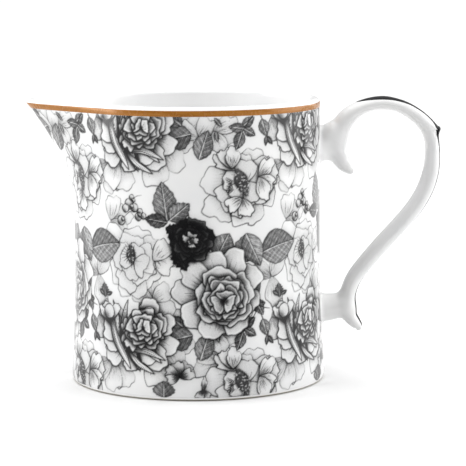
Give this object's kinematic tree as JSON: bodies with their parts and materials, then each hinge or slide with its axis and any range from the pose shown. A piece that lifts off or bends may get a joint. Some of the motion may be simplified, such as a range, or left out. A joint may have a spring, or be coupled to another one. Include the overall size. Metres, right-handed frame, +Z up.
{
  "type": "cream jug",
  "caption": "Cylindrical porcelain cream jug with a beak spout, scroll handle, grey floral transfer print, ochre rim line and black painted handle lines.",
  "frame": {"origin": "on the axis of the round cup, in the plane of the foot ring that it stands on", "axes": "+Z up along the cup's axis, +X towards the handle, the beak spout towards -X, symmetric about y = 0"},
  "size_m": [0.1285, 0.0788, 0.0873],
  "materials": {
    "glazed_porcelain_body": "gloss glaze over white porcelain",
    "glazed_porcelain_handle": "gloss glaze over white porcelain",
    "joint_slip": "gloss glaze over porcelain slip",
    "floral_transfer": "grey floral print under a gloss glaze",
    "rim_lustre": "ochre gold lustre, glossy",
    "black_enamel": "glossy black brushed enamel"
  },
  "bodies": {
    "root": {"body": "glazed_porcelain_body", "handle": "glazed_porcelain_handle", "upper_handle_joint": "joint_slip", "lower_handle_joint": "joint_slip", "transfer_sheet_near": "floral_transfer", "transfer_sheet_far": "floral_transfer", "rim_line": "rim_lustre", "crest_stroke": "black_enamel", "spur_line": "black_enamel", "scroll_line": "black_enamel"}
  },
  "joints": []
}
